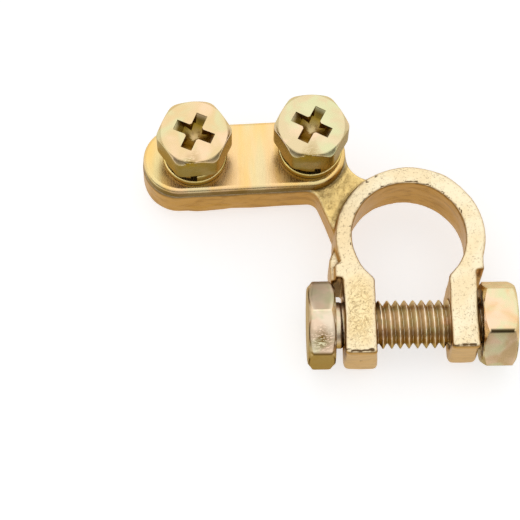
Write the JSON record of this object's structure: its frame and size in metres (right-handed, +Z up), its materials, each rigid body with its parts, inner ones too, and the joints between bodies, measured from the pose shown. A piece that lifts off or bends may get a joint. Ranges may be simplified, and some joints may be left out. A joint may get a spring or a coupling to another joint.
{
  "type": "battery terminal clamp",
  "caption": "Brass battery terminal clamp with a tapered split ring, a clamp bolt and nut, and a cable plate held on a side tongue by recessed hex screws.",
  "frame": {"origin": "axis of the post bore at the ring's underside", "axes": "+Z up along the bore, +X along the clamp bolt towards the nut, -Y from the bore towards the lugs"},
  "size_m": [0.0607, 0.0429, 0.0207],
  "materials": {
    "cast_brass": "as cast, sandy",
    "plated_plate": "yellow zinc plated",
    "plated_screw_left": "yellow zinc plated",
    "plated_screw_right": "yellow zinc plated",
    "plated_washer": "yellow zinc plated",
    "plated_bolt": "yellow zinc plated",
    "plated_nut": "yellow zinc plated"
  },
  "bodies": {
    "clamp": {"clamp_body": "cast_brass"},
    "plate": {"cable_plate": "plated_plate", "flat_washer_left": "plated_washer", "flat_washer_right": "plated_washer", "spring_washer_left": "plated_washer", "spring_washer_right": "plated_washer"},
    "screw_left": {"cable_screw_left": "plated_screw_left"},
    "screw_right": {"cable_screw_right": "plated_screw_right"},
    "bolt": {"clamp_bolt": "plated_bolt"},
    "nut": {"clamp_nut": "plated_nut"}
  },
  "joints": [
    {"name": "cable_plate_lift", "type": "slide", "parent": "clamp", "child": "plate", "axis": [0, 0, 1], "range_m": [0, 0.003]},
    {"name": "screw_left_turn", "type": "hinge", "parent": "plate", "child": "screw_left", "pos_m": [-0.03489, 0.01505, 0.01279], "axis": [0, 0, 1], "range_deg": [0, 851]},
    {"name": "screw_right_turn", "type": "hinge", "parent": "plate", "child": "screw_right", "pos_m": [-0.01575, 0.01605, 0.01279], "axis": [0, 0, 1], "range_deg": [0, 851]},
    {"name": "bolt_draw", "type": "slide", "parent": "clamp", "child": "bolt", "axis": [1, 0, 0], "range_m": [-0.0005, 0.0013]},
    {"name": "nut_turn", "type": "hinge", "parent": "clamp", "child": "nut", "pos_m": [0.0113, -0.01382, 0.0048], "axis": [1, 0, 0], "range_deg": [-333, 129]}
  ],
  "couplings": [
    {"joint": "screw_left_turn", "follows": "cable_plate_lift", "rad_per_m": 4947.4},
    {"joint": "screw_right_turn", "follows": "cable_plate_lift", "rad_per_m": 4947.4},
    {"joint": "nut_turn", "follows": "bolt_draw", "rad_per_m": -4452.7}
  ]
}
